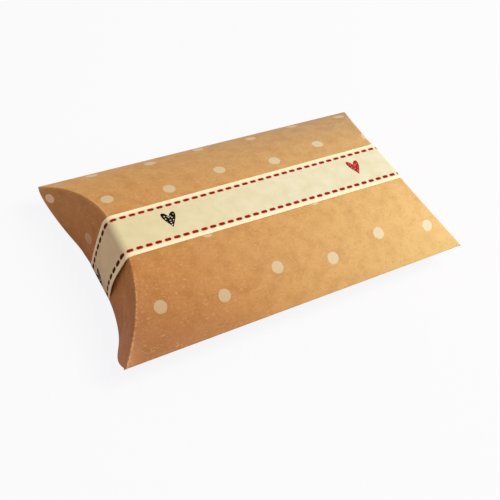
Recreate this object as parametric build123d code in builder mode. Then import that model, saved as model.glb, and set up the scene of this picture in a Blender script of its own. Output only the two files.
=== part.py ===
from build123d import *

import os
from math import cos, radians, sin, tan

# A pillow favor box folded from one sheet of printed card, with a paper band
# wrapped lengthwise round it and lapped under the base.
# Millimetres. X runs along the box, Y across it, Z up. The origin is the middle
# of the footprint, on the surface that the box rests on.

# Card box
BOX_LENGTH = 127.0      # tip to tip
BOX_WIDTH = 74.4        # side crease to side crease
CARD = 0.45             # card thickness
TOP_RISE = 12.5         # side creases up to the crown
TOP_FLAT = 7.2          # width of the level strip along the crown
BOTTOM_DEPTH = 8.7      # side creases down to the base
BOTTOM_FLAT = 36.0      # width of the level strip that the box sits on
END_RECESS = 12.5       # tips back to the middle of the curved top crease

# End flaps
FLAP_LEAN = 12.2        # degrees that a closed end leans outward towards its foot
FLAP_GAP = 0.3          # clearance between layers that move past each other
OUTER_FLAP_LIFT = 1.0   # base up to the outer flap's free edge
INNER_FLAP_WIDTH = 48.0
INNER_FLAP_REACH = 11.4  # base up to the middle of the inner flap's free edge
INNER_FLAP_CORNER = 8.0  # base up to the ends of the inner flap's free edge
INNER_FLAP_LIFT = 1.4   # clearance under the inner flap's foot, for its swing

# Side seam
SEAM_TAB_LENGTH = 92.0
SEAM_TAB_WIDTH = 12.0
SEAM_GLUE = 0.1         # thickness of the glue in the seam
SEAM_GLUE_MARGIN = 1.5  # bare border of the tab round the glue

# Paper band
BAND_WIDTH = 17.6
BAND_PAPER = 0.25       # paper thickness
BAND_OFFSET = -1.45     # middle of the band, off the middle of the box
BAND_SKEW = -0.5        # degrees that the band is turned on the box
BAND_OUTSET = 1.7       # how far the band's fold stands out past the top crease
BAND_LEAN = 9.5         # degrees that the band leans outward on its way down an end
BAND_FOLD_RADIUS = 1.8  # outside of the bend over the top crease
BAND_FOOT_RADIUS = 0.8  # outside of the bend under the box
BAND_SLIT = 1.0         # height of the slit above the under run
BAND_LAP = 20.0         # length over which the band's two ends lap
BAND_LAP_X = 12.0       # middle of the lap
BAND_GLUE = 0.1         # thickness of the glue in the lap
BAND_GLUE_MARGIN = 2.0  # bare border of the lap round the glue

# Levels and places worked out from the sizes above
UPPER_LAP = BAND_PAPER + BAND_GLUE
BASE = UPPER_LAP + BAND_PAPER
CREASE_LEVEL = BASE + BOTTOM_DEPTH
CROWN = CREASE_LEVEL + TOP_RISE
BAND_TOP_FACE = CROWN + BAND_PAPER
CREASE_X = -BOX_LENGTH / 2 + END_RECESS
LEAN = radians(FLAP_LEAN)
WALL_CURVE = END_RECESS * cos(LEAN) - TOP_RISE * sin(LEAN)
LAYER = CARD + FLAP_GAP

# Cross-sections look along X, with Y to the right: one arch rises, one hangs
TOP_SECTION = Plane(origin=(0, 0, CREASE_LEVEL), x_dir=(0, 1, 0), z_dir=(1, 0, 0))
BOTTOM_SECTION = Plane(origin=(0, 0, CREASE_LEVEL), x_dir=(0, 1, 0), z_dir=(-1, 0, 0))

# The top crease in plan, and the end wall square to its own slope
CREASE_PLAN = Plane(origin=(-BOX_LENGTH / 2, 0, 0), x_dir=(0, 1, 0), z_dir=(0, 0, -1))
WALL_DOWN = Vector(-sin(LEAN), 0, -cos(LEAN))
WALL_IN = Vector(cos(LEAN), 0, -sin(LEAN))
WALL_SECTION = Plane(
    origin=Vector(CREASE_X, 0, CROWN) - WALL_IN * WALL_CURVE, x_dir=(0, 1, 0), z_dir=WALL_DOWN
)

# Far enough for any cut or extrusion to pass right through the box
REACH = 2 * (BOX_LENGTH + BOX_WIDTH)

os.makedirs("parts", exist_ok=True)


def arch(flat, rise, inset, floor, mode=Mode.ADD):
    """Area under an arch with a level middle and two tangent arcs that come down to the side
    creases. The arch is drawn in by inset, and the area is closed at the height floor."""
    half_flat = flat / 2
    run = BOX_WIDTH / 2 - half_flat
    radius = (run**2 + rise**2) / (2 * rise)
    crown = rise - inset
    foot = half_flat + (radius - inset) * run / radius
    foot_height = rise - radius + (radius - inset) * (radius - rise) / radius
    with BuildLine() as outline:
        Line((-half_flat, crown), (half_flat, crown))
        TangentArc((half_flat, crown), (foot, foot_height), tangent=(1, 0))
        TangentArc((-half_flat, crown), (-foot, foot_height), tangent=(-1, 0))
        Polyline((foot, foot_height), (foot, floor), (-foot, floor), (-foot, foot_height))
    make_face(outline.edges(), mode=mode)


def skin(flat, rise, outer, inner):
    """Strip along an arch, between two depths behind its outer face."""
    arch(flat, rise, outer, -rise)
    arch(flat, rise, inner, -rise, mode=Mode.SUBTRACT)


def panel_section(flat, rise):
    """Card of one panel, stopping level with the side creases."""
    skin(flat, rise, 0, CARD)
    Rectangle(2 * BOX_WIDTH, rise, align=(Align.CENTER, Align.MAX), mode=Mode.SUBTRACT)


def lens(top_inset, bottom_inset):
    """Keep only what lies between the two panels, drawn in by an inset from each."""
    with BuildSketch(TOP_SECTION) as upper:
        arch(TOP_FLAT, TOP_RISE, top_inset, -BOTTOM_DEPTH)
    with BuildSketch(BOTTOM_SECTION) as lower:
        arch(BOTTOM_FLAT, BOTTOM_DEPTH, bottom_inset, -TOP_RISE)
    extrude(upper.sketch, amount=REACH, both=True, mode=Mode.INTERSECT)
    extrude(lower.sketch, amount=REACH, both=True, mode=Mode.INTERSECT)


def wall_layer(outer, inner):
    """Curved sheet parallel to the end wall, between two depths behind its outer face."""
    with BuildSketch(WALL_SECTION) as section:
        skin(TOP_FLAT, WALL_CURVE, -inner, -outer)
    extrude(section.sketch, amount=REACH, both=True)


def finish(piece, name):
    """Label a finished piece and write it out."""
    piece.label = name
    export_step(piece, f"parts/{name}.step")


# Top panel: arched card, cut off at each end along the curved crease
with BuildPart() as top_panel:
    with BuildSketch(TOP_SECTION):
        panel_section(TOP_FLAT, TOP_RISE)
    extrude(amount=BOX_LENGTH / 2, both=True)
    with BuildSketch(CREASE_PLAN) as beyond_crease:
        arch(TOP_FLAT, END_RECESS, 0, -END_RECESS)
    end_cut = extrude(beyond_crease.sketch, amount=REACH, both=True, mode=Mode.SUBTRACT)
    mirror(end_cut, about=Plane.YZ, mode=Mode.SUBTRACT)
finish(top_panel.part, "top_panel")

# Bottom panel: flatter card, stopping just inside the closed outer flaps
with BuildPart() as bottom_panel:
    with BuildSketch(BOTTOM_SECTION):
        panel_section(BOTTOM_FLAT, BOTTOM_DEPTH)
    extrude(amount=BOX_LENGTH / 2, both=True)
    with BuildSketch(WALL_SECTION) as beyond_wall:
        arch(TOP_FLAT, WALL_CURVE, -LAYER, -END_RECESS)
    end_cut = extrude(beyond_wall.sketch, amount=REACH, both=True, mode=Mode.SUBTRACT)
    mirror(end_cut, about=Plane.YZ, mode=Mode.SUBTRACT)
finish(bottom_panel.part, "bottom_panel")

# Seam tab: turned in from the bottom panel's back edge, against the inside of the top panel
with BuildPart() as seam_tab:
    with BuildSketch(TOP_SECTION):
        skin(TOP_FLAT, TOP_RISE, CARD + SEAM_GLUE, 2 * CARD + SEAM_GLUE)
    extrude(amount=SEAM_TAB_LENGTH / 2, both=True)
    with BuildSketch(Plane.XY):
        with Locations((0, BOX_WIDTH / 2)):
            Rectangle(REACH, 2 * SEAM_TAB_WIDTH)
    extrude(amount=REACH, mode=Mode.INTERSECT)
    with BuildSketch(BOTTOM_SECTION) as inside_bottom:
        arch(BOTTOM_FLAT, BOTTOM_DEPTH, CARD, -TOP_RISE)
    extrude(inside_bottom.sketch, amount=REACH, both=True, mode=Mode.INTERSECT)
finish(seam_tab.part, "seam_tab")

# Seam glue: one thin layer between the tab and the top panel
with BuildPart() as seam_glue:
    with BuildSketch(TOP_SECTION):
        skin(TOP_FLAT, TOP_RISE, CARD, CARD + SEAM_GLUE)
    extrude(amount=SEAM_TAB_LENGTH / 2 - SEAM_GLUE_MARGIN, both=True)
    with BuildSketch(Plane.XY):
        with Locations((0, BOX_WIDTH / 2 - SEAM_TAB_WIDTH / 2)):
            Rectangle(REACH, SEAM_TAB_WIDTH - 2 * SEAM_GLUE_MARGIN)
    extrude(amount=REACH, mode=Mode.INTERSECT)
finish(seam_glue.part, "seam_glue")

# Outer flap: hangs from the top crease and closes the end down to the base
with BuildPart() as outer_flap:
    wall_layer(0, CARD)
    lens(LAYER, OUTER_FLAP_LIFT)
finish(outer_flap.part, "left_outer_flap")
finish(mirror(outer_flap.part, about=Plane.YZ), "right_outer_flap")

# Inner flap: stands up from the bottom crease behind the outer flap, with a bowed free edge
with BuildPart() as inner_flap:
    wall_layer(LAYER, LAYER + CARD)
    lens(LAYER, CARD + INNER_FLAP_LIFT)
    with BuildSketch(Plane.YZ) as below_free_edge:
        with BuildLine():
            ThreePointArc(
                (-INNER_FLAP_WIDTH / 2, BASE + INNER_FLAP_CORNER),
                (0, BASE + INNER_FLAP_REACH),
                (INNER_FLAP_WIDTH / 2, BASE + INNER_FLAP_CORNER),
            )
            Polyline(
                (-INNER_FLAP_WIDTH / 2, BASE + INNER_FLAP_CORNER),
                (-INNER_FLAP_WIDTH / 2, 0),
                (INNER_FLAP_WIDTH / 2, 0),
                (INNER_FLAP_WIDTH / 2, BASE + INNER_FLAP_CORNER),
            )
        make_face()
    extrude(below_free_edge.sketch, amount=REACH, both=True, mode=Mode.INTERSECT)
finish(inner_flap.part, "left_inner_flap")
finish(mirror(inner_flap.part, about=Plane.YZ), "right_inner_flap")


def band_outline():
    """Keep only what lies inside the band's own edges, which run a little askew."""
    with BuildSketch(Plane.XY) as outline:
        with Locations((0, BAND_OFFSET)):
            Rectangle(REACH, BAND_WIDTH, rotation=BAND_SKEW)
    extrude(outline.sketch, amount=REACH, mode=Mode.INTERSECT)


# Top run of the band, flat along the crown from crease to crease
with BuildPart() as band_top:
    with BuildSketch(Plane.XY.offset(CROWN)):
        Rectangle(-2 * CREASE_X, BOX_WIDTH)
    extrude(amount=BAND_PAPER)
    band_outline()
finish(band_top.part, "band_top")

# Rest of the band: each end folds over the crease, comes down in front of the flap and goes
# under the box. The slit at the foot parts the end run, which lifts with the flap, from the
# under run, which stays. The right under run lies above the left one where they lap.
FOLD_X = CREASE_X - BAND_OUTSET
ENDS = (
    ("left", 0, BAND_LAP_X + BAND_LAP / 2),
    ("right", UPPER_LAP, BAND_LAP / 2 - BAND_LAP_X),
)
RUNS = (("end", Keep.TOP), ("under", Keep.BOTTOM))
for side, level, under_end in ENDS:
    foot_x = FOLD_X - (BAND_TOP_FACE - level) * tan(radians(BAND_LEAN))
    for run, kept in RUNS:
        with BuildPart() as band_run:
            with BuildSketch(Plane.XZ):
                with BuildLine():
                    FilletPolyline(
                        (CREASE_X, BAND_TOP_FACE),
                        (FOLD_X, BAND_TOP_FACE),
                        (foot_x, level),
                        (under_end, level),
                        radius=[BAND_FOLD_RADIUS, BAND_FOOT_RADIUS],
                    )
                    offset(amount=BAND_PAPER, side=Side.LEFT)
                make_face()
            extrude(amount=BOX_WIDTH / 2, both=True)
            split(bisect_by=Plane.XY.offset(level + BAND_SLIT), keep=kept)
            if side == "right":
                mirror(about=Plane.YZ, mode=Mode.REPLACE)
            band_outline()
        finish(band_run.part, f"band_{side}_{run}")

# Glue in the lap under the box
with BuildPart() as band_glue:
    with BuildSketch(Plane.XY.offset(BAND_PAPER)):
        with Locations((BAND_LAP_X, BAND_OFFSET + BAND_LAP_X * tan(radians(BAND_SKEW)))):
            Rectangle(
                BAND_LAP - 2 * BAND_GLUE_MARGIN, BAND_WIDTH - 2 * BAND_GLUE_MARGIN, rotation=BAND_SKEW
            )
    extrude(amount=BAND_GLUE)
finish(band_glue.part, "band_glue")
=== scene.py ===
from math import acos, atan2, cos, exp, pi, radians, sin, sqrt, tan

import bmesh
import bpy
from mathutils import Matrix, Vector


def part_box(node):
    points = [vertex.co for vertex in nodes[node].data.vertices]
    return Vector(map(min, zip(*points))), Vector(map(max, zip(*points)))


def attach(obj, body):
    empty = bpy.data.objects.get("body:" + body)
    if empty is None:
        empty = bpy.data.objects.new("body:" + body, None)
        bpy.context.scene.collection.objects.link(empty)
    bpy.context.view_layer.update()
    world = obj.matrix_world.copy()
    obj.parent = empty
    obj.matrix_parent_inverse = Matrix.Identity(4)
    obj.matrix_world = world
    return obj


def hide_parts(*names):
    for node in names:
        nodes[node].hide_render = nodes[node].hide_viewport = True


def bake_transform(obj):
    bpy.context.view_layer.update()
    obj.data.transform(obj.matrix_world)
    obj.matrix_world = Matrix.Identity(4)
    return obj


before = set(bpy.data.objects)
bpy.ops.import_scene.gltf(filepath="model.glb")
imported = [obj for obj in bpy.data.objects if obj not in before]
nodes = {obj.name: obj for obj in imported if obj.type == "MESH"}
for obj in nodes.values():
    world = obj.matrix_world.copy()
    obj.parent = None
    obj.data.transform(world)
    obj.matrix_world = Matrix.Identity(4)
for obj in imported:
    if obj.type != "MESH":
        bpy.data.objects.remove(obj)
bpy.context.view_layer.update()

# Top panel
# The middle of one die-cut sheet of 350 g kraft card, printed on its outside with pale dots and
# bent into an arch between the two side folds. Each end stops at a scored curved crease.
MM = 0.001
CARD = 0.45             # card thickness
TOP_FLAT = 7.2          # width of the level strip along the crown
FLAP_LEAN = radians(12.2)  # a closed end leans outward towards its foot
FOLD = 0.35             # outside radius of a fold in the card
FOLD_STEPS = 4
SHARP_EDGE = radians(40)   # a sheet's cut edges turn by more than this, its bends by less
LEFT_WEAR, RIGHT_WEAR = (0.1, 1.5), (0.2, 0.4)  # how far the front and back points are blunted
WEAR_REACH = 0.8        # how far the rubbed edge of a crease reaches
SIDE_WEAR = 0.25        # the side folds are rubbed less than the curved creases
low, high = (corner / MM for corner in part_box("top_panel"))
HALF_LENGTH, HALF_WIDTH = high.x, high.y
CREASE_LEVEL, CROWN = low.z, high.z
TOP_RISE = CROWN - CREASE_LEVEL
END_TURN = pi / 2 - FLAP_LEAN
END_SETBACK = FOLD * tan(END_TURN / 2)


def arch_stations(flat, rise, steps):
    """Points across an arched sheet from front to back: (distance along the sheet, across, height
    above the side folds). Each side ends halfway round its fold, where the card stands upright."""
    half_flat = flat / 2
    run = HALF_WIDTH - half_flat
    radius = (run**2 + rise**2) / (2 * rise)
    joins = acos((radius - rise) / (radius - FOLD))
    fold_centre = half_flat + (radius - FOLD) * sin(joins)
    side = [(half_flat, half_flat, rise)]
    for step in range(1, steps + 1):
        turn = joins * step / steps
        side.append(
            (half_flat + radius * turn, half_flat + radius * sin(turn), rise - radius * (1 - cos(turn)))
        )
    arc_end = side[-1][0]
    for step in range(1, FOLD_STEPS + 1):
        turn = joins + (pi / 2 - joins) * step / FOLD_STEPS
        side.append((arc_end + FOLD * (turn - joins), fold_centre + FOLD * sin(turn), FOLD * cos(turn)))
    front = [(-distance, -across, height) for distance, across, height in reversed(side)]
    return front + [(0, 0, rise)] + side


def crease_reach(height, across, wear):
    """From the middle of the box to an end's crease, at a height above the side folds. The crease
    lies in a plane at 45 degrees, and its front and back points are worn blunt."""
    blunt = wear[0] if across < 0 else wear[1]
    return HALF_LENGTH - sqrt(max(height, 0) ** 2 + blunt**2)


def bent_sheet(name, stock, columns, rows, outward, place):
    """A flat grid bent by place(column, row), which gives a point, its spot on the flat sheet and
    how near it is to a worn crease. The stock is the sheet's thickness, which is given inwards, and
    the materials of its outer and inner sides."""
    thickness, *sides = stock
    sheet = bmesh.new()
    bmesh.ops.create_grid(sheet, x_segments=columns - 1, y_segments=rows - 1, size=1)
    flat_map = sheet.loops.layers.uv.new("flat_sheet")
    wear = sheet.verts.layers.float.new("wear")
    spots = {}
    for vert in sheet.verts:
        column = round((vert.co.x + 1) / 2 * (columns - 1))
        row = round((vert.co.y + 1) / 2 * (rows - 1))
        point, spots[vert], vert[wear] = place(column, row)
        vert.co = Vector(point) * MM
    for face in sheet.faces:
        for loop in face.loops:
            loop[flat_map].uv = spots[loop.vert]
    sheet.normal_update()
    if sum((face.normal * face.calc_area() for face in sheet.faces), Vector()).dot(outward) < 0:
        bmesh.ops.reverse_faces(sheet, faces=sheet.faces)
    outside = len(sheet.faces)
    bmesh.ops.solidify(sheet, geom=sheet.faces[:], thickness=thickness * MM)
    sheet.faces.ensure_lookup_table()
    for face in sheet.faces:
        face.smooth = True
        face.material_index = 0 if face.index < outside else 1
    mesh = bpy.data.meshes.new(name)
    sheet.to_mesh(mesh)
    sheet.free()
    mesh.set_sharp_from_angle(angle=SHARP_EDGE)
    for material in sides:
        mesh.materials.append(material)
    piece = bpy.data.objects.new(name, mesh)
    bpy.context.scene.collection.objects.link(piece)
    return piece


def linear(colour):
    """Linear RGBA of an sRGB hex colour."""
    channels = [int(colour[i : i + 2], 16) / 255 for i in (1, 3, 5)]
    return [c / 12.92 if c <= 0.04045 else ((c + 0.055) / 1.055) ** 2.4 for c in channels] + [1]


def add(tree, kind, values=None, **settings):
    """Adds one node. Each value goes to the input of that number or name: a socket is linked, and
    anything else is set. Returns the node's outputs."""
    made = tree.nodes.new("ShaderNode" + kind)
    for name, value in settings.items():
        setattr(made, name, value)
    for key, value in (values or {}).items():
        if isinstance(value, bpy.types.NodeSocket):
            tree.links.new(value, made.inputs[key])
        else:
            made.inputs[key].default_value = value
    return made.outputs


# Kraft card: unbleached wood fibre, rolled smooth. The eye gets a warm brown with cloudy patches,
# dark specks, fine curled pale fibres and a matt face. The dots are a thin cream ink.
# The card's tone runs from deep to pale as painted light, paler towards the lamp on the right
KRAFT_DEEP, KRAFT_PALE = "#ac6b2e", "#e1c480"
KRAFT_SHADE, KRAFT_FIBRE, KRAFT_WORN = "#8f5622", "#eec881", "#e8c184"
KRAFT_CORNER_SHADE, FLAP_CORNER_LIGHT = "#9e7855", "#ca9b78"  # painted shade on the front left corner of the top, painted light on its shaded flap
FLAP_BACK_SHADE = "#aa6341"                         # painted shade on the back part of the left flap
KRAFT_BACK_SHADE = "#a79c82"                        # painted shade on the back right part of the top
# The last ink is paler, for the shaded left flap: painted light
INK_DEEP, INK_PALE, INK_FLAP_LIGHT = "#b89e6f", "#e5e3c3", "#ead6ae"
CARD_ROUGHNESS, CARD_SPECULAR = (0.62, 0.8), 0.18
CARD_RELIEF = 0.06                     # mm: depth of the grain

# Where the card's tone and its painted light and shade change, in mm along and across the flat sheet from
# the middle of the top
TONE_MIDDLE = 0.475                    # from deep (0) to pale (1)
TONE_ACROSS = 38.0                     # from the middle to the front and back of the top
TONE_FRONT, TONE_BACK = 0.0088, -0.0008  # painted light: how much paler per mm towards the lamp on the right, at the front and back
CORNER_SLANT = 1.5                       # the painted shade of the corner ends at a slanting line: along + slant * across
CORNER_FADE, CORNER_MOST = (-112.0, -67.0), 0.6
CORNER_FLAP = (-64.0, -57.0)             # along: where the corner's flap passes into the top
GREY_ACROSS, GREY_ALONG, GREY_MOST = (-4.0, 28.0), (-40.0, 45.0), 0.38
DEEP_ACROSS, DEEP_MOST = (-6.0, 8.0), 0.35
CREASE_BOW = 0.0078                    # per mm: how the left crease bows across the flat sheet
FLAP_SHADE = (-51.6, -50.2)            # along, on the middle line: where the left flap takes over
INK_SHADOW = (2.0, 33.0)                 # across: painted shadow of the band, which hides the left flap's dots towards the front

# Marks of the card: size in mm, the part of its noise that shows, and how strong it gets
CLOUD, CLOUD_SHOWN, CLOUD_MOST = 4.5, (0.42, 0.72), 0.38
CLOUD_LOSS = 0.22                      # the patches are fainter where the card is paler
GRAIN, GRAIN_SHOWN, GRAIN_MOST = 1.0, (0.54, 0.76), 0.36
FIBRE_LENGTH, FIBRE_WIDTH = 2.0, 1.3   # drawn coarser than real fibres, so that they show
FIBRE_CURL, FIBRE_SHOWN, FIBRE_MOST = 2.5, (0.56, 0.72), 0.24
CHIP_SHOWN, CHIP_MOST = (0.47, 0.62), 0.45  # chips of the rubbed creases

# Printed dots, in mm of the flat sheet
DOT_RADIUS = 2.02
DOT_COLUMN, DOT_ROW = 20.0, 20.95      # pitch of the dots along and across the box
DOT_FIRST = (-7.7, 15.1)               # a dot of an even column and row
DOT_COLUMN_DROP, DOT_ROW_SLIP = 2.9, 2.65  # odd columns sit lower, and odd rows further right
DOT_ROW_STEP = 0.25                    # each row is also printed a little further right
DOT_RAGGED, DOT_BLUR = 0.35, (0.05, 0.3)  # how the grain eats into a dot's edge, and its softness
DOT_INK = 0.9


def kraft_card(name, printed):
    """Kraft card, with the dots on its printed side. Patterns are in millimetres of the flat sheet
    on a printed piece, and of the object on a bare one."""
    material = bpy.data.materials.new(name)
    material.use_nodes = True
    tree = material.node_tree
    shader = tree.nodes["Principled BSDF"]
    if printed:
        spot = add(tree, "UVMap", uv_map="flat_sheet")["UV"]
    else:
        place = add(tree, "TexCoord")["Object"]
        spot = add(tree, "VectorMath", {0: place, "Scale": 1 / MM}, operation="SCALE")["Vector"]
    cloud = add(tree, "TexNoise", {"Vector": spot, "Scale": 1 / CLOUD, "Detail": 4.0, "Roughness": 0.6})
    grain = add(tree, "TexNoise", {"Vector": spot, "Scale": 1 / GRAIN, "Detail": 3.0, "Roughness": 0.6})
    stretch = (1 / FIBRE_LENGTH, 1 / FIBRE_WIDTH, 1 / FIBRE_WIDTH)
    lay = add(tree, "Mapping", {"Vector": spot, "Scale": stretch})["Vector"]
    fibre = add(tree, "TexNoise", {"Vector": lay, "Scale": 1.0, "Detail": 2.0, "Distortion": FIBRE_CURL})

    # Painted light: the card is paler towards the lamp on the right, most of all along the front
    axes = add(tree, "SeparateXYZ", {0: spot})
    gain = add(
        tree, "MapRange",
        {"Value": axes["Y"], "From Min": -TONE_ACROSS, "From Max": TONE_ACROSS,
         "To Min": TONE_FRONT, "To Max": TONE_BACK},
    )["Result"]
    painted_falloff = add(tree, "Math", {0: axes["X"], 1: gain, 2: TONE_MIDDLE}, operation="MULTIPLY_ADD")[0]
    tone = add(tree, "Mix", {0: painted_falloff, 6: linear(KRAFT_DEEP), 7: linear(KRAFT_PALE)}, data_type="RGBA")[2]

    # Painted shade: the front left corner of the top is darker and greyer, and painted light makes its
    # shaded flap paler and warmer
    corner = add(tree, "Math", {0: axes["Y"], 1: CORNER_SLANT, 2: axes["X"]}, operation="MULTIPLY_ADD")[0]
    corner_shading = add(
        tree, "MapRange",
        {"Value": corner, "From Min": CORNER_FADE[0], "From Max": CORNER_FADE[1],
         "To Min": CORNER_MOST, "To Max": 0.0},
    )["Result"]
    past = add(
        tree, "MapRange", {"Value": axes["X"], "From Min": CORNER_FLAP[0], "From Max": CORNER_FLAP[1]}
    )["Result"]
    corner_shade_tone = add(tree, "Mix", {0: past, 6: linear(FLAP_CORNER_LIGHT), 7: linear(KRAFT_CORNER_SHADE)}, data_type="RGBA")[2]
    tone = add(tree, "Mix", {0: corner_shading, 6: tone, 7: corner_shade_tone}, data_type="RGBA")[2]

    # Painted shade: the top is greyer towards the back right, on the side turned away from the lamp
    behind = add(
        tree, "MapRange",
        {"Value": axes["Y"], "From Min": GREY_ACROSS[0], "From Max": GREY_ACROSS[1], "To Max": GREY_MOST},
    )["Result"]
    rightward = add(
        tree, "MapRange", {"Value": axes["X"], "From Min": GREY_ALONG[0], "From Max": GREY_ALONG[1]}
    )["Result"]
    back_shading = add(tree, "Math", {0: behind, 1: rightward}, operation="MULTIPLY")[0]
    tone = add(tree, "Mix", {0: back_shading, 6: tone, 7: linear(KRAFT_BACK_SHADE)}, data_type="RGBA")[2]

    # Painted shade: the left flap, beyond its curved crease, is darker and redder towards the back, where
    # it gets less light
    square = add(tree, "Math", {0: axes["Y"], 1: axes["Y"]}, operation="MULTIPLY")[0]
    beyond = add(tree, "Math", {0: square, 1: CREASE_BOW, 2: axes["X"]}, operation="MULTIPLY_ADD")[0]
    on_top = add(
        tree, "MapRange", {"Value": beyond, "From Min": FLAP_SHADE[0], "From Max": FLAP_SHADE[1]}
    )["Result"]
    on_flap = add(tree, "Math", {0: 1.0, 1: on_top}, operation="SUBTRACT")[0]
    rear = add(
        tree, "MapRange",
        {"Value": axes["Y"], "From Min": DEEP_ACROSS[0], "From Max": DEEP_ACROSS[1], "To Max": DEEP_MOST},
    )["Result"]
    flap_shading = add(tree, "Math", {0: rear, 1: on_flap}, operation="MULTIPLY")[0]
    tone = add(tree, "Mix", {0: flap_shading, 6: tone, 7: linear(FLAP_BACK_SHADE)}, data_type="RGBA")[2]

    # Cloudy patches, dark specks and pale fibres lie over the tone
    clouding = add(tree, "Math", {0: painted_falloff, 1: -CLOUD_LOSS, 2: CLOUD_MOST}, operation="MULTIPLY_ADD")[0]
    for noise, shown, most, colour in (
        (cloud, CLOUD_SHOWN, clouding, KRAFT_SHADE),
        (grain, GRAIN_SHOWN, GRAIN_MOST, KRAFT_SHADE),
        (fibre, FIBRE_SHOWN, FIBRE_MOST, KRAFT_FIBRE),
    ):
        mark = add(
            tree, "MapRange",
            {"Value": noise["Fac"], "From Min": shown[0], "From Max": shown[1], "To Max": most},
        )["Result"]
        tone = add(tree, "Mix", {0: mark, 6: tone, 7: linear(colour)}, data_type="RGBA")[2]

    if printed:
        # How far each spot is from the nearest dot, along and up the sheet
        from_dot = add(tree, "Math", {0: axes["Y"], 1: DOT_FIRST[1]}, operation="SUBTRACT")[0]
        row = add(tree, "Math", {0: from_dot, 1: DOT_ROW}, operation="DIVIDE")[0]
        row = add(tree, "Math", {0: row}, operation="ROUND")[0]
        odd_row = add(tree, "Math", {0: row, 1: 2.0}, operation="FLOORED_MODULO")[0]
        slip = add(
            tree, "Math", {0: odd_row, 1: DOT_ROW_SLIP, 2: DOT_FIRST[0]}, operation="MULTIPLY_ADD"
        )[0]
        slip = add(tree, "Math", {0: row, 1: DOT_ROW_STEP, 2: slip}, operation="MULTIPLY_ADD")[0]
        along = add(tree, "Math", {0: axes["X"], 1: slip}, operation="SUBTRACT")[0]
        column = add(tree, "Math", {0: along, 1: DOT_COLUMN}, operation="DIVIDE")[0]
        column = add(tree, "Math", {0: column}, operation="ROUND")[0]
        odd_column = add(tree, "Math", {0: column, 1: 2.0}, operation="FLOORED_MODULO")[0]
        along = add(tree, "Math", {0: column, 1: -DOT_COLUMN, 2: along}, operation="MULTIPLY_ADD")[0]
        up = add(tree, "Math", {0: row, 1: -DOT_ROW, 2: from_dot}, operation="MULTIPLY_ADD")[0]
        up = add(tree, "Math", {0: odd_column, 1: DOT_COLUMN_DROP, 2: up}, operation="MULTIPLY_ADD")[0]
        offset = add(tree, "CombineXYZ", {"X": along, "Y": up})["Vector"]
        away = add(tree, "VectorMath", {0: offset}, operation="LENGTH")["Value"]
        ragged = add(tree, "Math", {0: grain["Fac"], 1: DOT_RAGGED, 2: away}, operation="MULTIPLY_ADD")[0]
        ink = add(
            tree, "MapRange",
            {"Value": ragged, "From Min": DOT_RADIUS + DOT_BLUR[0], "From Max": DOT_RADIUS + DOT_BLUR[1],
             "To Min": DOT_INK, "To Max": 0.0},
            interpolation_type="SMOOTHSTEP",
        )["Result"]

        # The ink follows the card's painted light on the top. On the shaded left flap it is paler, which is
        # painted light, and painted shadow hides it towards the front
        dots = add(tree, "Mix", {0: painted_falloff, 6: linear(INK_DEEP), 7: linear(INK_PALE)}, data_type="RGBA")[2]
        dots = add(tree, "Mix", {0: on_top, 6: linear(INK_FLAP_LIGHT), 7: dots}, data_type="RGBA")[2]
        ink_unshadowed = add(
            tree, "MapRange", {"Value": axes["Y"], "From Min": INK_SHADOW[0], "From Max": INK_SHADOW[1]}
        )["Result"]
        ink_unshadowed = add(tree, "Math", {0: on_top, 1: ink_unshadowed}, operation="MAXIMUM")[0]
        ink = add(tree, "Math", {0: ink, 1: ink_unshadowed}, operation="MULTIPLY")[0]
        tone = add(tree, "Mix", {0: ink, 6: tone, 7: dots}, data_type="RGBA")[2]

        # Rubbed creases show chips of pale fibre
        worn = add(tree, "Attribute", attribute_name="wear")["Fac"]
        chips = add(
            tree, "MapRange",
            {"Value": grain["Fac"], "From Min": CHIP_SHOWN[0], "From Max": CHIP_SHOWN[1]},
        )["Result"]
        worn = add(tree, "Math", {0: worn, 1: chips}, operation="MULTIPLY")[0]
        worn = add(tree, "Math", {0: worn, 1: CHIP_MOST}, operation="MULTIPLY")[0]
        tone = add(tree, "Mix", {0: worn, 6: tone, 7: linear(KRAFT_WORN)}, data_type="RGBA")[2]
    tree.links.new(tone, shader.inputs["Base Color"])
    matt = add(
        tree, "MapRange",
        {"Value": cloud["Fac"], "To Min": CARD_ROUGHNESS[0], "To Max": CARD_ROUGHNESS[1]},
    )["Result"]
    tree.links.new(matt, shader.inputs["Roughness"])
    shader.inputs["Specular IOR Level"].default_value = CARD_SPECULAR
    relief = add(tree, "Math", {0: fibre["Fac"], 1: grain["Fac"]}, operation="ADD")[0]
    bump = add(tree, "Bump", {"Height": relief, "Strength": 0.1, "Distance": CARD_RELIEF * MM})
    tree.links.new(bump["Normal"], shader.inputs["Normal"])
    return material


printed_card = kraft_card("printed_kraft_card", True)
plain_card = kraft_card("plain_kraft_card", False)
card_stock = (CARD, printed_card, plain_card)

TOP_STEPS, TOP_ARC_STEPS = 48, 22      # along the panel, and across each side of its arch
top_line = arch_stations(TOP_FLAT, TOP_RISE, TOP_ARC_STEPS)
TOP_HALF = top_line[-1][0]


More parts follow.
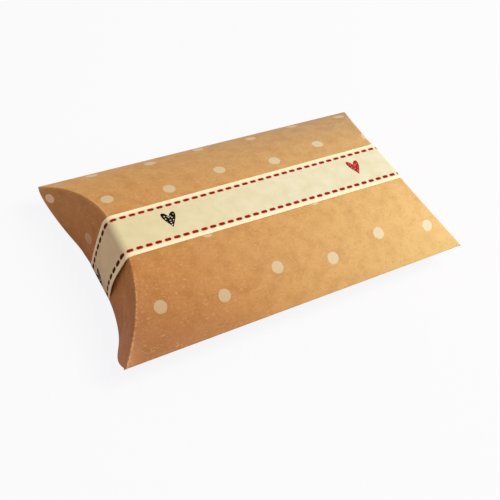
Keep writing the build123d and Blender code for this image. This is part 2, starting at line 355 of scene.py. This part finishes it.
def on_top_panel(column, row):
    distance, across, height = top_line[row]
    level = CREASE_LEVEL + height
    worn = SIDE_WEAR if abs(distance) > TOP_HALF - 2 * FOLD else 0.0
    inner = min(max(column - FOLD_STEPS, 0), TOP_STEPS)
    side, wear = (-1, LEFT_WEAR) if inner < TOP_STEPS / 2 else (1, RIGHT_WEAR)
    flat_end = crease_reach(height, across, wear) - END_SETBACK
    if inner == column - FOLD_STEPS:
        along = flat_end * (2 * inner / TOP_STEPS - 1)
        if inner in (1, TOP_STEPS - 1):
            along = side * (flat_end - WEAR_REACH)
        return (along, across, level), (along, distance), max(worn, float(inner in (0, TOP_STEPS)))
    turn = END_TURN / 2 * abs(column - FOLD_STEPS - inner) / FOLD_STEPS
    point = (side * (flat_end + FOLD * sin(turn)), across, level - FOLD * (1 - cos(turn)))
    return point, (side * (flat_end + FOLD * turn), distance), 1.0


top_columns = TOP_STEPS + 1 + 2 * FOLD_STEPS
top = bent_sheet("card_top", card_stock, top_columns, len(top_line), Vector((0, 0, 1)), on_top_panel)
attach(top, "box")
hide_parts("top_panel")

# Bottom panel
# The other half of the same sheet, carried round the front fold and bowed the other way. Its
# middle is pressed flat where the box stands, and it ends just inside the closed flaps.
BOTTOM_FLAT = 36.0      # width of the level strip on which the box stands
FLAP_GAP = 0.3          # between the panel's ends and the closed flaps
BOTTOM_DEPTH = CREASE_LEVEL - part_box("bottom_panel")[0].z / MM
BOTTOM_STEPS, BOTTOM_ARC_STEPS = 32, 14
bottom_line = arch_stations(BOTTOM_FLAT, BOTTOM_DEPTH, BOTTOM_ARC_STEPS)
BOTTOM_HALF = bottom_line[-1][0]


def arch_height(flat, rise, across):
    """Height of an arch above the side folds at a distance across the box."""
    run = HALF_WIDTH - flat / 2
    radius = (run**2 + rise**2) / (2 * rise)
    past = min(max(abs(across) - flat / 2, 0), run)
    return rise - radius + sqrt(radius**2 - past**2)


def on_bottom_panel(column, row):
    distance, across, depth = bottom_line[row]
    height = arch_height(TOP_FLAT, TOP_RISE, across)
    wear = LEFT_WEAR if column < BOTTOM_STEPS / 2 else RIGHT_WEAR
    wall = crease_reach(height, across, wear) + (height + depth) * tan(FLAP_LEAN)
    reach = wall - (CARD + FLAP_GAP) / cos(FLAP_LEAN)
    along = reach * (2 * column / BOTTOM_STEPS - 1)
    worn = SIDE_WEAR if abs(distance) > BOTTOM_HALF - 2 * FOLD else 0.0
    return (along, across, CREASE_LEVEL - depth), (along, -TOP_HALF - BOTTOM_HALF - distance), worn


bottom = bent_sheet(
    "card_bottom", card_stock, BOTTOM_STEPS + 1, len(bottom_line), Vector((0, 0, -1)), on_bottom_panel
)
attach(bottom, "box")
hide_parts("bottom_panel")

# Seam and inner flaps
# The sheet's glue tab is turned in along the back fold and stuck to the inside of the top panel.
# Each inner flap folds up from the bottom panel, bare card side out, behind the outer flap.
for name in ("seam_tab", "left_inner_flap", "right_inner_flap"):
    nodes[name].data.materials.clear()
    nodes[name].data.materials.append(plain_card)

# Dried paper glue: clear, a little yellow, with a soft shine and an uneven brushed thickness.
GLUE_THIN, GLUE_THICK = "#e6dcc0", "#cfc29c"
GLUE_STREAK, GLUE_RELIEF = 3.0, 0.05   # mm: width and depth of the brush's streaks
dried_glue = bpy.data.materials.new("dried_paper_glue")
dried_glue.use_nodes = True
tree = dried_glue.node_tree
shader = tree.nodes["Principled BSDF"]
spot = add(tree, "TexCoord")["Object"]
streaks = add(tree, "TexNoise", {"Vector": spot, "Scale": 1 / (GLUE_STREAK * MM), "Detail": 3.0})
tone = add(
    tree, "Mix", {0: streaks["Fac"], 6: linear(GLUE_THIN), 7: linear(GLUE_THICK)}, data_type="RGBA"
)[2]
tree.links.new(tone, shader.inputs["Base Color"])
shader.inputs["Roughness"].default_value = 0.35
bump = add(tree, "Bump", {"Height": streaks["Fac"], "Strength": 0.3, "Distance": GLUE_RELIEF * MM})
tree.links.new(bump["Normal"], shader.inputs["Normal"])
for name in ("seam_glue", "band_glue"):
    nodes[name].data.materials.clear()
    nodes[name].data.materials.append(dried_glue)

# Outer flaps
# Each end of the top panel turns down at its curved crease and becomes the outer flap, which the
# curve of the crease holds hollow.
FLAP_LIFT = 0.5         # base up to the flap's free edge
FLAP_STEPS = 12
LEFT_BULGE, RIGHT_BULGE = 1.9, 0.3   # the flap is pushed out near its front corner
BULGE_PLACE, BULGE_SPREAD = -30.6, 6.4
POINT_HOLD, POINT_REACH = 0.8, 1.5   # the bulge is held back close to the front point
POINT_DEPTH = 0.12      # depth of the flap at its front and back points
FLAP_PRINT = 1.18       # the print runs longer than the flap, because it follows the hollow


def flap_at(side, wear, bulge):
    """The flap at the left end (side -1) or the right end (side 1)."""

    def placed(column, row):
        distance, across, height = top_line[row]
        flat_end = crease_reach(height, across, wear) - END_SETBACK
        turn = END_TURN / 2 * (1 + min(column, FOLD_STEPS) / FOLD_STEPS)
        level = CREASE_LEVEL + height - FOLD * (1 - cos(turn))
        foot = CREASE_LEVEL - arch_height(BOTTOM_FLAT, BOTTOM_DEPTH, across) + FLAP_LIFT
        down = max(column - FOLD_STEPS, 0) / FLAP_STEPS
        drop = max((level - foot) / cos(FLAP_LEAN), POINT_DEPTH) * down
        if column == FOLD_STEPS + 1:
            drop = min(drop, WEAR_REACH)
        held = 1 - POINT_HOLD * exp(-(across + HALF_WIDTH) / POINT_REACH)
        pushed = bulge * held * down * exp(-(((across - BULGE_PLACE) / BULGE_SPREAD) ** 2))
        out = flat_end + FOLD * sin(turn) + drop * sin(FLAP_LEAN) + pushed
        sheet_end = flat_end + FOLD * turn + drop * FLAP_PRINT
        worn = float(column <= FOLD_STEPS)
        return (side * out, across, level - drop * cos(FLAP_LEAN)), (side * sheet_end, distance), worn

    return placed


left_flap = flap_at(-1, LEFT_WEAR, LEFT_BULGE)
right_flap = flap_at(1, RIGHT_WEAR, RIGHT_BULGE)
for end, side, wear, place in (("left", -1, LEFT_WEAR, left_flap), ("right", 1, RIGHT_WEAR, right_flap)):
    flap = bent_sheet(
        f"card_{end}_flap", card_stock, FOLD_STEPS + FLAP_STEPS + 1, len(top_line),
        Vector((side, 0, 0)), place,
    )
    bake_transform(flap)
    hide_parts(f"{end}_outer_flap")

# Paper band, along the top
# A strip of cream paper, wrapped lengthwise round the box and printed with two rows of red
# stitches and a few small hearts. It lies along the crown and eases down at its edges.
PAPER = 0.25
BAND_HALF = 8.8
BAND_OFFSET = -1.5      # middle of the band, off the middle of the box
BAND_SKEW = radians(-0.27)
BAND_TAPER = 0.06       # the strip narrows by this share towards its left end
BAND_TOP_END = 48.0     # half length of the flat stretch, up to the bends at the ends
BAND_STEPS, BAND_ROWS = 40, 13
BAND_LIFT = 0.1         # the band lies loose on the card
EDGE_EASE = 1.1         # times the arch's fall: the band's edges are eased down on the card

# Cream paper: smooth uncoated stock with a parchment print, faintly clouded, and lighter margins.
PAPER_LEFT, PAPER_RIGHT = "#d9d3a7", "#dcddbf"   # painted light: the paper is paler towards the lamp on the right
PAPER_FALLOFF = (-45.0, 10.0)                      # mm along the band
PAPER_CLOUD, PAPER_MARGIN = "#cbc696", "#f2e9c3"
PAPER_END_BOUNCE = "#dfcfaa"                    # painted warm bounce light on the paper down the shaded left end
END_CHANGE = (-53.5, -51.5)              # mm along the band, where that end's painted light and shade take over
PAPER_ROUGHNESS, PAPER_SPECULAR = (0.55, 0.75), 0.04
PAPER_RELIEF = 0.03                      # mm: depth of the grain
PAPER_CLOUDING, PAPER_GRAIN = 5.0, 0.6   # mm
CLOUDING_SHOWN, CLOUDING_MOST = (0.38, 0.75), 0.6
MARGIN_LINE, MARGIN_BLUR = 7.5, (-0.5, 0.3)  # mm from the band's middle

# Printed stitches and hearts, in mm of the flat band
STITCH_RED, STITCH_SHADED = "#901609", "#441404"  # painted shade: the stitches are darker down the shaded left end
STITCH_SPREAD = 0.12                     # they are also printed broader there, to each side
HEART_BLACK, HEART_RED = "#0c0807", "#9c2824"
PIN_CREAM, PIN_PINK = "#efe3c4", "#d98d84"
STITCH_LINE, STITCH_PITCH = 6.7, 3.085   # from the band's middle, and between stitches
STITCH_START = -0.65                     # middle of a stitch, along the band from its middle
STITCH_LENGTH, STITCH_WIDTH = 2.2, 1.12
STITCH_RAGGED, STITCH_BLUR = 0.2, 0.2    # how the grain eats into a stitch's edge, and its softness
HEART_HALF, HEART_RISE = 2.35, 2.4       # half width, and middle up to the notch
HEART_DROP, HEART_TURN = -0.5, radians(-5)   # off the band's middle line, and askew
BLACK_HEARTS, RED_HEARTS = (-71.7, -33.8), (37.3, 75.0)   # along the band from its middle
LOBE_POWER, LOBE_RISE = 0.7, 1.4         # how the halves of a disc are pushed up to make a heart
HEART_EDGE = (0.97, 1.03)                # where the ink ends, as a share of the heart
PIN_PITCH, PIN_SCATTER = 0.95, 0.7       # pin dots in a heart, and how unevenly they lie
PIN_EDGE, PIN_INK = (0.18, 0.3), 0.85    # where a pin dot ends, as a share of the pitch
PIN_AREA = (0.72, 0.82)                  # where the pin dots end, as a share of the heart


def cream_paper():
    material = bpy.data.materials.new("cream_parchment_paper")
    material.use_nodes = True
    tree = material.node_tree
    shader = tree.nodes["Principled BSDF"]
    spot = add(tree, "UVMap", uv_map="flat_sheet")["UV"]
    axes = add(tree, "SeparateXYZ", {0: spot})
    cloud = add(
        tree, "TexNoise", {"Vector": spot, "Scale": 1 / PAPER_CLOUDING, "Detail": 4.0, "Roughness": 0.6}
    )
    grain = add(tree, "TexNoise", {"Vector": spot, "Scale": 1 / PAPER_GRAIN, "Detail": 2.0})
    patches = add(
        tree, "MapRange",
        {"Value": cloud["Fac"], "From Min": CLOUDING_SHOWN[0], "From Max": CLOUDING_SHOWN[1],
         "To Max": CLOUDING_MOST},
    )["Result"]
    # Painted light: the paper is paler towards the lamp on the right
    painted_falloff = add(
        tree, "MapRange", {"Value": axes["X"], "From Min": PAPER_FALLOFF[0], "From Max": PAPER_FALLOFF[1]}
    )["Result"]
    tone = add(tree, "Mix", {0: painted_falloff, 6: linear(PAPER_LEFT), 7: linear(PAPER_RIGHT)}, data_type="RGBA")[2]
    # Painted warm bounce light on the paper, and painted shade on the stitches, down the shaded left end
    change = add(
        tree, "MapRange", {"Value": axes["X"], "From Min": END_CHANGE[0], "From Max": END_CHANGE[1]}
    )["Result"]
    tone = add(tree, "Mix", {0: change, 6: linear(PAPER_END_BOUNCE), 7: tone}, data_type="RGBA")[2]
    tone = add(tree, "Mix", {0: patches, 6: tone, 7: linear(PAPER_CLOUD)}, data_type="RGBA")[2]
    from_middle = add(tree, "Math", {0: axes["Y"]}, operation="ABSOLUTE")[0]
    margin = add(
        tree, "MapRange",
        {"Value": from_middle, "From Min": MARGIN_LINE + MARGIN_BLUR[0],
         "From Max": MARGIN_LINE + MARGIN_BLUR[1]},
    )["Result"]
    tone = add(tree, "Mix", {0: margin, 6: tone, 7: linear(PAPER_MARGIN)}, data_type="RGBA")[2]

    # Each stitch is a short bar with round ends
    along = add(tree, "Math", {0: axes["X"], 1: STITCH_START}, operation="SUBTRACT")[0]
    stitch = add(tree, "Math", {0: along, 1: STITCH_PITCH}, operation="DIVIDE")[0]
    stitch = add(tree, "Math", {0: stitch}, operation="ROUND")[0]
    along = add(tree, "Math", {0: stitch, 1: -STITCH_PITCH, 2: along}, operation="MULTIPLY_ADD")[0]
    along = add(tree, "Math", {0: along}, operation="ABSOLUTE")[0]
    along = add(tree, "Math", {0: along, 1: (STITCH_LENGTH - STITCH_WIDTH) / 2}, operation="SUBTRACT")[0]
    along = add(tree, "Math", {0: along, 1: 0.0}, operation="MAXIMUM")[0]
    off_line = add(tree, "Math", {0: from_middle, 1: STITCH_LINE}, operation="SUBTRACT")[0]
    bar = add(tree, "CombineXYZ", {"X": along, "Y": off_line})["Vector"]
    bar = add(tree, "VectorMath", {0: bar}, operation="LENGTH")["Value"]
    bar = add(tree, "Math", {0: grain["Fac"], 1: STITCH_RAGGED, 2: bar}, operation="MULTIPLY_ADD")[0]
    bar = add(tree, "Math", {0: change, 1: STITCH_SPREAD, 2: bar}, operation="MULTIPLY_ADD")[0]
    edge = STITCH_WIDTH / 2 + STITCH_SPREAD
    ink = add(
        tree, "MapRange",
        {"Value": bar, "From Min": edge, "From Max": edge + STITCH_BLUR, "To Min": 1.0, "To Max": 0.0},
    )["Result"]
    # Painted shade: the stitches are darker down the left end
    thread = add(
        tree, "Mix", {0: change, 6: linear(STITCH_SHADED), 7: linear(STITCH_RED)}, data_type="RGBA"
    )[2]
    tone = add(tree, "Mix", {0: ink, 6: tone, 7: thread}, data_type="RGBA")[2]

    # Each heart is a disc whose two halves are pushed up, with pale pin dots inside it
    cells = add(
        tree, "TexVoronoi", {"Vector": spot, "Scale": 1 / PIN_PITCH, "Randomness": PIN_SCATTER},
        voronoi_dimensions="2D",
    )
    pin = add(
        tree, "MapRange",
        {"Value": cells["Distance"], "From Min": PIN_EDGE[0], "From Max": PIN_EDGE[1],
         "To Min": 1.0, "To Max": 0.0},
    )["Result"]
    for places, colour, pins in ((BLACK_HEARTS, HEART_BLACK, PIN_CREAM), (RED_HEARTS, HEART_RED, PIN_PINK)):
        for place in places:
            turned = add(
                tree, "Mapping",
                {"Vector": spot, "Location": (place, HEART_DROP, 0), "Rotation": (0, 0, HEART_TURN),
                 "Scale": (HEART_HALF, HEART_RISE, 1)},
                vector_type="TEXTURE",
            )
            heart = add(tree, "SeparateXYZ", {0: turned["Vector"]})
            half = add(tree, "Math", {0: heart["X"]}, operation="ABSOLUTE")[0]
            lobe = add(tree, "Math", {0: half, 1: LOBE_POWER}, operation="POWER")[0]
            rise = add(tree, "Math", {0: lobe, 1: -LOBE_RISE, 2: heart["Y"]}, operation="MULTIPLY_ADD")[0]
            shape = add(tree, "CombineXYZ", {"X": half, "Y": rise})["Vector"]
            shape = add(tree, "VectorMath", {0: shape}, operation="LENGTH")["Value"]
            inside = add(
                tree, "MapRange",
                {"Value": shape, "From Min": HEART_EDGE[0], "From Max": HEART_EDGE[1],
                 "To Min": 1.0, "To Max": 0.0},
            )["Result"]
            tone = add(tree, "Mix", {0: inside, 6: tone, 7: linear(colour)}, data_type="RGBA")[2]
            within = add(
                tree, "MapRange",
                {"Value": shape, "From Min": PIN_AREA[0], "From Max": PIN_AREA[1],
                 "To Min": PIN_INK, "To Max": 0.0},
            )["Result"]
            pricked = add(tree, "Math", {0: within, 1: pin}, operation="MULTIPLY")[0]
            tone = add(tree, "Mix", {0: pricked, 6: tone, 7: linear(pins)}, data_type="RGBA")[2]
    tree.links.new(tone, shader.inputs["Base Color"])
    matt = add(
        tree, "MapRange",
        {"Value": cloud["Fac"], "To Min": PAPER_ROUGHNESS[0], "To Max": PAPER_ROUGHNESS[1]},
    )["Result"]
    tree.links.new(matt, shader.inputs["Roughness"])
    shader.inputs["Specular IOR Level"].default_value = PAPER_SPECULAR
    bump = add(tree, "Bump", {"Height": grain["Fac"], "Strength": 0.12, "Distance": PAPER_RELIEF * MM})
    tree.links.new(bump["Normal"], shader.inputs["Normal"])
    return material


# Bare paper: the unprinted inner side of the same stock, plain cream and a little rougher.
BARE_ROUGHNESS = (0.6, 0.8)


def bare_paper():
    material = bpy.data.materials.new("bare_cream_paper")
    material.use_nodes = True
    tree = material.node_tree
    shader = tree.nodes["Principled BSDF"]
    spot = add(tree, "TexCoord")["Object"]
    cloud = add(tree, "TexNoise", {"Vector": spot, "Scale": 1 / (PAPER_CLOUDING * MM), "Detail": 4.0})
    grain = add(tree, "TexNoise", {"Vector": spot, "Scale": 1 / (PAPER_GRAIN * MM), "Detail": 2.0})
    tone = add(
        tree, "Mix", {0: cloud["Fac"], 6: linear(PAPER_MARGIN), 7: linear(PAPER_RIGHT)}, data_type="RGBA"
    )[2]
    tree.links.new(tone, shader.inputs["Base Color"])
    matt = add(
        tree, "MapRange",
        {"Value": cloud["Fac"], "To Min": BARE_ROUGHNESS[0], "To Max": BARE_ROUGHNESS[1]},
    )["Result"]
    tree.links.new(matt, shader.inputs["Roughness"])
    bump = add(tree, "Bump", {"Height": grain["Fac"], "Strength": 0.12, "Distance": PAPER_RELIEF * MM})
    tree.links.new(bump["Normal"], shader.inputs["Normal"])
    return material


band_stock = (PAPER, cream_paper(), bare_paper())


def band_crown(across):
    """Height of the band's face above its place across the box."""
    fall = TOP_RISE - arch_height(TOP_FLAT, TOP_RISE, across)
    return CROWN + BAND_LIFT + PAPER - EDGE_EASE * fall


def band_across(offset, along):
    """Place across the box of a point that is offset from the band's middle line. The line runs
    askew and the strip narrows along the flat stretch only."""
    along = min(max(along, -BAND_TOP_END), BAND_TOP_END)
    narrowed = 1 - BAND_TAPER * (BAND_TOP_END - along) / (2 * BAND_TOP_END)
    return BAND_OFFSET + offset * narrowed + along * tan(BAND_SKEW)


def on_band_top(column, row):
    along = BAND_TOP_END * (2 * column / BAND_STEPS - 1)
    offset = BAND_HALF * (2 * row / (BAND_ROWS - 1) - 1)
    across = band_across(offset, along)
    return (along, across, band_crown(across)), (along, offset), 0.0


band_top = bent_sheet(
    "band_top_run", band_stock, BAND_STEPS + 1, BAND_ROWS, Vector((0, 0, 1)), on_band_top
)
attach(band_top, "box")
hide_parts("band_top")

# Paper band, down the ends
# At each end the strip is rolled over the crease and comes down in front of the flap. Its back
# edge lies on the flap and its front edge bows clear. It is slit along the foot to open the box.
LEFT_BACK, LEFT_FRONT = (52.25, 3.1), (52.5, 3.2)  # where an edge turns down, and radius of its roll
RIGHT_BACK = RIGHT_FRONT = (51.9, 1.8)
BAND_FOOT_OUT = 55.6    # the foot is drawn in against the flap's lower edge
BACK_BOW, FRONT_BOW = 0.25, 1.25  # how far the edges of an end run bow out, halfway down
FRONT_DRIFT = 1.4       # how far the left run's front edge is drawn back at its foot
BAND_BEND_STEPS, BAND_DROP_STEPS = 10, 16
BAND_FOOT = 1.0         # height of the slit


def end_run(side, back, front, painted_falloff):
    """The run at the left end (side -1) or the right end (side 1), from the flat stretch over the
    roll and down to the foot."""

    def placed(column, row):
        share = row / (BAND_ROWS - 1)
        offset = BAND_HALF * (2 * share - 1)
        across = band_across(offset, side * BAND_TOP_END)
        crown = band_crown(across)
        if column == 0:
            return (side * BAND_TOP_END, across, crown), (side * BAND_TOP_END, offset), 0.0
        turn_out, bend = (front[i] + (back[i] - front[i]) * share for i in (0, 1))
        bow = FRONT_BOW + (BACK_BOW - FRONT_BOW) * share
        lean = atan2(BAND_FOOT_OUT - turn_out, crown - BAND_FOOT)
        roll_start = turn_out - bend * tan((pi / 2 - lean) / 2)
        turn = (pi / 2 - lean) * min((column - 1) / BAND_BEND_STEPS, 1)
        level = crown - bend * (1 - cos(turn))
        down = max(column - 1 - BAND_BEND_STEPS, 0) / BAND_DROP_STEPS
        drop = (level - BAND_FOOT) / cos(lean) * down
        out = roll_start + bend * sin(turn) + drop * sin(lean) + bow * sin(pi * down)
        across += painted_falloff * (1 - share) * down
        sheet_end = roll_start + bend * turn + drop
        return (side * out, across, level - drop * cos(lean)), (side * sheet_end, offset), 0.0

    return placed


left_run = end_run(-1, LEFT_BACK, LEFT_FRONT, FRONT_DRIFT)
right_run = end_run(1, RIGHT_BACK, RIGHT_FRONT, 0.0)
for end, side, place in (("left", -1, left_run), ("right", 1, right_run)):
    run = bent_sheet(
        f"band_{end}_run", band_stock, BAND_BEND_STEPS + BAND_DROP_STEPS + 2, BAND_ROWS,
        Vector((side, 0, 0)), place,
    )
    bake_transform(run)
    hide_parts(f"band_{end}_end")

# Paper band, under the box
# The two tails turn under at the foot of the end runs. The right one lies above the left one, and
# they are glued together where they lap.
TAIL_BEND_STEPS, TAIL_STEPS = 6, 20
UPPER_TAIL = 0.35       # the right tail lies on the left one and its glue
LEFT_TAIL_END, RIGHT_TAIL_END = 22.0, 2.0  # where each tail ends along the box


def tail_at(side, run_above, level, under_end):
    """A tail from the foot of the run on one side, which lies at a level and ends at a place along
    the box."""

    def placed(column, row):
        foot, spot, worn = run_above(BAND_BEND_STEPS + BAND_DROP_STEPS + 1, row)
        bend = foot[2] - level
        turn = pi / 2 * min(column / TAIL_BEND_STEPS, 1)
        out = side * foot[0] - bend * (1 - cos(turn))
        height = foot[2] - bend * sin(turn)
        past = (out - side * under_end) * max(column - TAIL_BEND_STEPS, 0) / TAIL_STEPS
        along = side * (out - past)
        spot = (spot[0] + side * (bend * turn + past), spot[1])
        across = foot[1] + band_across(spot[1], along) - band_across(spot[1], foot[0])
        return (along, across, height), spot, worn

    return placed


left_tail = tail_at(-1, left_run, 0.0, LEFT_TAIL_END)
right_tail = tail_at(1, right_run, UPPER_TAIL, RIGHT_TAIL_END)
for end, place in (("left", left_tail), ("right", right_tail)):
    tail = bent_sheet(
        f"band_{end}_tail", band_stock, TAIL_BEND_STEPS + TAIL_STEPS + 1, BAND_ROWS,
        Vector((0, 0, -1)), place,
    )
    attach(tail, "box")
    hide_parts(f"band_{end}_under")

# Floor and light
# A plain pale table top in a bright room, with one large soft lamp to the right and in front.
FLOOR_HALF = 3.0        # metres
FLOOR_PALE, FLOOR_WHITE = "#dedad4", "#fdfdff"
FLOOR_GLOW = 0.9        # share of plain white in what the camera sees of the floor


def seen_directly(tree):
    """1 for rays from the camera, also by way of a shine or a clear sheet, and 0 for lighting."""
    rays = add(tree, "LightPath")
    seen = add(tree, "Math", {0: rays["Is Camera Ray"], 1: rays["Is Glossy Ray"]}, operation="MAXIMUM")[0]
    return add(tree, "Math", {0: seen, 1: rays["Is Transmission Ray"]}, operation="MAXIMUM")[0]


floor_mesh = bmesh.new()
bmesh.ops.create_grid(floor_mesh, x_segments=1, y_segments=1, size=FLOOR_HALF)
mesh = bpy.data.meshes.new("floor")
floor_mesh.to_mesh(mesh)
floor_mesh.free()
floor = bpy.data.objects.new("floor", mesh)
bpy.context.scene.collection.objects.link(floor)
pale = bpy.data.materials.new("pale_table_top")
pale.use_nodes = True
tree = pale.node_tree
shader = tree.nodes["Principled BSDF"]
shader.inputs["Base Color"].default_value = linear(FLOOR_PALE)
shader.inputs["Roughness"].default_value = 0.9
share = add(tree, "Math", {0: seen_directly(tree), 1: FLOOR_GLOW}, operation="MULTIPLY")[0]
white = add(tree, "Emission", {"Color": linear(FLOOR_WHITE), "Strength": 1.0})["Emission"]
mixed = add(tree, "MixShader", {0: share, 1: shader.outputs[0], 2: white})[0]
tree.links.new(mixed, tree.nodes["Material Output"].inputs["Surface"])
floor.data.materials.append(pale)

ROOM_LIGHT, ROOM_TINT = 0.45, (1.0, 0.745, 0.755, 1)   # warm light off the room's walls
ROOM_SEEN, ROOM_WHITE = 0.97, (1, 1, 1, 1)             # the room itself is plain white
world = bpy.data.worlds.new("bright_room")
bpy.context.scene.world = world
world.use_nodes = True
tree = world.node_tree
seen = seen_directly(tree)
level = add(tree, "MapRange", {"Value": seen, "To Min": ROOM_LIGHT, "To Max": ROOM_SEEN})["Result"]
tree.links.new(level, tree.nodes["Background"].inputs["Strength"])
tint = add(tree, "Mix", {0: seen, 6: ROOM_TINT, 7: ROOM_WHITE}, data_type="RGBA")[2]
tree.links.new(tint, tree.nodes["Background"].inputs["Color"])

LAMP_PLACE, LAMP_AIM = Vector((0.48, -0.17, 0.75)), Vector((0.0, 0, 0.01))
lamp = bpy.data.lights.new("soft_lamp", "AREA")
lamp.shape = "DISK"
lamp.size = 0.5
lamp.energy = 8.0
lamp.color = (1.0, 0.98, 0.94)
soft_lamp = bpy.data.objects.new("soft_lamp", lamp)
soft_lamp.location = LAMP_PLACE
soft_lamp.rotation_mode = "QUATERNION"
soft_lamp.rotation_quaternion = (LAMP_AIM - LAMP_PLACE).to_track_quat("-Z", "Y")
bpy.context.scene.collection.objects.link(soft_lamp)

# Camera
# The photograph was taken from above the front left corner, with the camera rolled a little.
AZIMUTH, ELEVATION, ROLL = radians(-41.0), radians(46.19), radians(15.35)
DISTANCE = 268.3
back = Vector((sin(AZIMUTH) * cos(ELEVATION), -cos(AZIMUTH) * cos(ELEVATION), sin(ELEVATION)))
right = Vector((cos(AZIMUTH), sin(AZIMUTH), 0))
up = back.cross(right)
rolled_right = right * cos(ROLL) + up * sin(ROLL)
rolled_up = up * cos(ROLL) - right * sin(ROLL)
lens = bpy.data.cameras.new("camera")
lens.lens = 57.04
lens.sensor_width = 36.0
lens.shift_x, lens.shift_y = -0.0097, -0.0649
lens.clip_start, lens.clip_end = 0.01, 20.0
camera = bpy.data.objects.new("camera", lens)
turned = Matrix((rolled_right, rolled_up, back)).transposed().to_4x4()
camera.matrix_world = Matrix.Translation((Vector((0, 0, CREASE_LEVEL)) + back * DISTANCE) * MM) @ turned
bpy.context.scene.collection.objects.link(camera)
bpy.context.scene.camera = camera
bpy.context.scene.view_settings.view_transform = "Standard"
